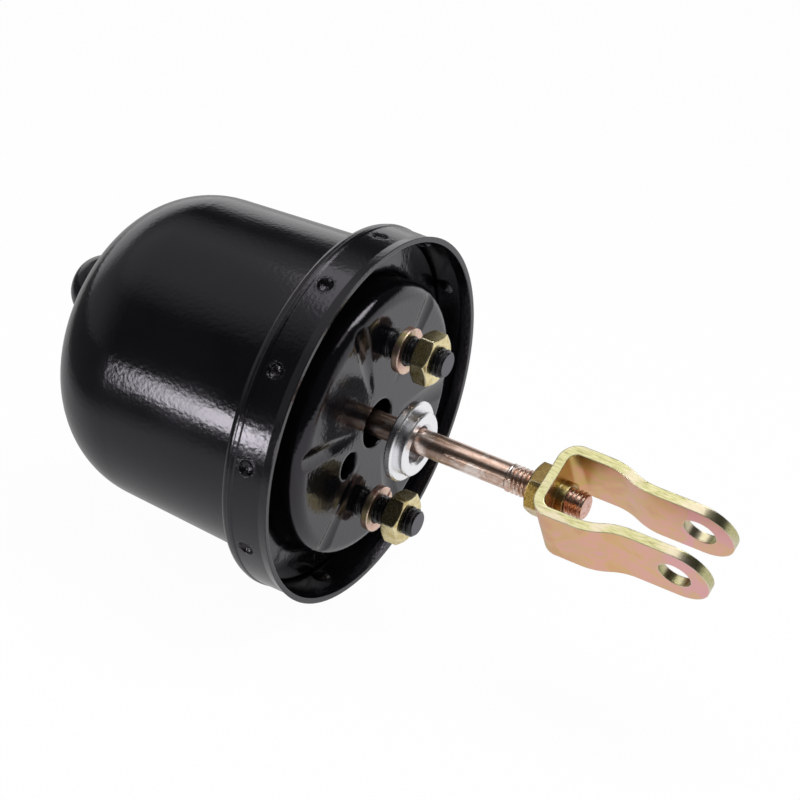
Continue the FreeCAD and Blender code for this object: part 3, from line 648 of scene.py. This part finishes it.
# The clevis, a bent strap.
# Sheared from strap, bent, plated and passivated. The rolled faces are tan and turn pink toward
# the eyes, the sheared edges are pale yellow-green and streaked, and the collar is olive.
def sheared_share(tree, normal, x):
    """1 on the strap's sheared edges, rounded tips and eyes, and 0 on its rolled faces."""
    studs_to_pin = 52.4
    roll = math.radians(90 - studs_to_pin)
    strap_across = add_node(tree, "ShaderNodeVectorMath", {"operation": "DOT_PRODUCT"},
                            {0: normal, 1: (0, -math.sin(roll), math.cos(roll))})
    sheared = add_node(tree, "ShaderNodeMath", {"operation": "ABSOLUTE"},
                       {0: strap_across.outputs["Value"]})
    long_edge = add_node(tree, "ShaderNodeMapRange",
                         inputs={"Value": sheared.outputs[0], 1: 0.45, 2: 0.6, 3: 0.0, 4: 1.0})
    pinward = add_node(tree, "ShaderNodeVectorMath", {"operation": "DOT_PRODUCT"},
                       {0: normal, 1: (0, math.cos(roll), math.sin(roll))})
    flat_face = add_node(tree, "ShaderNodeMath", {"operation": "ABSOLUTE"}, {0: pinward.outputs["Value"]})
    round_end = add_node(tree, "ShaderNodeMapRange",
                         inputs={"Value": flat_face.outputs[0], 1: 0.3, 2: 0.5, 3: 1.0, 4: 0.0})
    past_bend = add_node(tree, "ShaderNodeMapRange",
                         inputs={"Value": x, 1: 86 * MM, 2: 88 * MM, 3: 0.0, 4: 1.0})
    tip = add_node(tree, "ShaderNodeMath", {"operation": "MULTIPLY"},
                   {0: round_end.outputs[0], 1: past_bend.outputs[0]})
    return add_node(tree, "ShaderNodeMath", {"operation": "MAXIMUM"},
                    {0: long_edge.outputs[0], 1: tip.outputs[0]}).outputs[0]


def clevis_zinc():
    material, tree = new_material("iridescent_passivated_zinc")
    coords = add_node(tree, "ShaderNodeTexCoord").outputs
    place = coords["Object"]
    apart = add_node(tree, "ShaderNodeSeparateXYZ", inputs={0: place})
    edge = sheared_share(tree, coords["Normal"], apart.outputs[0])

    # The rolled faces.
    patches = add_node(tree, "ShaderNodeTexNoise",
                       inputs={"Vector": place, "Scale": 1 / (11 * MM), "Detail": 2.5, "Roughness": 0.5,
                               "Distortion": 0.8})
    reach = add_node(tree, "ShaderNodeMapRange",
                     inputs={"Value": apart.outputs[0], 1: 54 * MM, 2: 104 * MM, 3: -0.22, 4: 0.22})
    where = add_node(tree, "ShaderNodeMath", {"operation": "ADD"},
                     {0: patches.outputs[0], 1: reach.outputs[0]})
    face_tone = tone_ramp(tree, where.outputs[0],
                          {0.22: "c8ab62", 0.33: "d8a27f", 0.42: "d9b07c", 0.53: "e0a898",
                           0.63: "d8ae86", 0.74: "dea5a3"})

    # The sheared edges.
    sheared_along = add_node(tree, "ShaderNodeMapping", inputs={"Vector": place, "Scale": (0.12, 1, 1)})
    fine = add_node(tree, "ShaderNodeTexNoise",
                    inputs={"Vector": sheared_along.outputs[0], "Scale": 1 / (0.4 * MM), "Detail": 4.0,
                            "Roughness": 0.6})
    streaks = tone_ramp(tree, fine.outputs[0], {0.3: "cfc9a2", 0.52: "b7b67c", 0.7: "857f50"})
    pale = add_node(tree, "ShaderNodeMapRange",
                    inputs={"Value": patches.outputs[0], 1: 0.46, 2: 0.6, 3: 0.15, 4: 0.75})
    edge_tone = add_node(tree, "ShaderNodeMix", {"data_type": "RGBA"},
                         {0: pale.outputs[0], 6: streaks, 7: srgb("d6c8b2")})

    # The collar, and the corners painted pale, partly rubbed wear and partly a painted highlight.
    from_axis = add_node(tree, "ShaderNodeCombineXYZ", inputs={1: apart.outputs[1], 2: apart.outputs[2]})
    axis_r = add_node(tree, "ShaderNodeVectorMath", {"operation": "LENGTH"}, {0: from_axis.outputs[0]})
    collar = add_node(tree, "ShaderNodeMapRange",
                      inputs={"Value": axis_r.outputs["Value"], 1: 5.2 * MM, 2: 5.6 * MM, 3: 1.0, 4: 0.0})
    strap = add_node(tree, "ShaderNodeMix", {"data_type": "RGBA"},
                     {0: edge, 6: face_tone, 7: edge_tone.outputs[2]})
    plate = add_node(tree, "ShaderNodeMix", {"data_type": "RGBA"},
                     {0: collar.outputs[0], 6: strap.outputs[2], 7: srgb("c4b478")})
    edge_normal, edge_share = worn_and_highlit_edges(tree, 0.45)
    # Pale corners: partly rubbed wear, partly a painted highlight.
    tone = add_node(tree, "ShaderNodeMix", {"data_type": "RGBA"},
                    {0: edge_share, 6: plate.outputs[2], 7: srgb("e8e4cc")})

    gloss = add_node(tree, "ShaderNodeMapRange", inputs={"Value": edge, 1: 0.0, 2: 1.0, 3: 0.36, 4: 0.3})
    grain = add_node(tree, "ShaderNodeMapRange", inputs={"Value": edge, 1: 0.0, 2: 1.0, 3: 0.06, 4: 0.35})
    bump = add_node(tree, "ShaderNodeBump",
                    inputs={"Strength": grain.outputs[0], "Distance": 0.08 * MM, "Height": fine.outputs[0],
                            "Normal": edge_normal})
    close_material(tree, add_node(tree, "ShaderNodeBsdfPrincipled",
                                  inputs={"Base Color": tone.outputs[2], "Metallic": 1.0,
                                          "Roughness": gloss.outputs[0], "Normal": bump.outputs[0]}))
    return material


coat(nodes["clevis"], clevis_zinc())


# The return spring, oiled spring wire.
# Cold-coiled to a cone, so that its coils pass inside each other as the piston comes forward.
# In the chamber it closes up between the piston and the cover; here it keeps one length.
def coiled_wire():
    """A tree that sweeps round wire along a conical helix about Z."""
    tree = bpy.data.node_groups.new("coiled_wire", "GeometryNodeTree")
    for name, kind in (("Turns", "Float"), ("Start Radius", "Float"), ("End Radius", "Float"),
                       ("Height", "Float"), ("Wire Radius", "Float"), ("Steel", "Material")):
        tree.interface.new_socket(name, in_out="INPUT", socket_type="NodeSocket" + kind)
    tree.interface.new_socket("Geometry", in_out="OUTPUT", socket_type="NodeSocketGeometry")
    given = add_node(tree, "NodeGroupInput").outputs
    helix = add_node(tree, "GeometryNodeCurveSpiral",
                     inputs={"Resolution": 64, "Rotations": given["Turns"],
                             "Start Radius": given["Start Radius"], "End Radius": given["End Radius"],
                             "Height": given["Height"]})
    section = add_node(tree, "GeometryNodeCurvePrimitiveCircle",
                       inputs={"Resolution": 20, "Radius": given["Wire Radius"]})
    wire = add_node(tree, "GeometryNodeCurveToMesh",
                    inputs={"Curve": helix.outputs[0], "Profile Curve": section.outputs["Curve"],
                            "Fill Caps": True})
    real = add_node(tree, "GeometryNodeRealizeInstances", inputs={"Geometry": wire.outputs[0]})
    dressed = add_node(tree, "GeometryNodeSetMaterial",
                       inputs={"Geometry": real.outputs[0], "Material": given["Steel"]})
    add_node(tree, "NodeGroupOutput", inputs={"Geometry": dressed.outputs[0]})
    return tree


low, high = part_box("return_spring")
wire_r = 1.6 * MM
back_r = 24.4 * MM
front_inset = 1.8 * MM
spring_mesh = grown("return_spring_wire", coiled_wire(), {
    "Turns": 6.0, "Start Radius": back_r, "End Radius": high.z - front_inset,
    "Height": high.x - low.x - 2 * wire_r, "Wire Radius": wire_r,
    "Steel": mottled("oiled_spring_wire", "5a5a5e", "38383c", 1.0, 0.35, 0.8)})
spring_mesh.transform(Matrix.Translation((low.x + wire_r, 0, 0)) @ Matrix.Rotation(math.pi / 2, 4, "Y"))
spring_mesh.shade_smooth()
spring = bpy.data.objects.new("return_spring_wire", spring_mesh)
bpy.context.scene.collection.objects.link(spring)
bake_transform(spring)
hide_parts("return_spring")


# The diaphragm, reinforced rubber.
# Moulded as a top hat over fabric. Its rim is clamped between can and cover. In the chamber its
# head goes with the piston and its side gives; here it is one fixed shape.
diaphragm_mesh = nodes["diaphragm"].data.copy()
diaphragm_mesh.transform(nodes["diaphragm"].matrix_world)
diaphragm = bpy.data.objects.new("diaphragm_rubber", diaphragm_mesh)
bpy.context.scene.collection.objects.link(diaphragm)
coat(diaphragm, mottled("reinforced_rubber", "262626", "141414", 0.0, 0.6, 0.6))
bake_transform(diaphragm)
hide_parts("diaphragm")


# The piston and its ball joint, which no view of the whole chamber shows.
# Zinc-plated pressings, steel rivets and a nylon seat.
coat(nodes["ball_seat"], mottled("moulded_nylon", "e2dfd0", "d2cebd", 0.0, 0.45, 1.5))
plated_sheet = mottled("zinc_plated_sheet", "c9c8c0", "a5a49c", 1.0, 0.32, 2.0)
for name in ("spring_seat", "piston_cup", "retainer_plate", "rod_socket", "socket_rivets"):
    coat(nodes[name], plated_sheet)
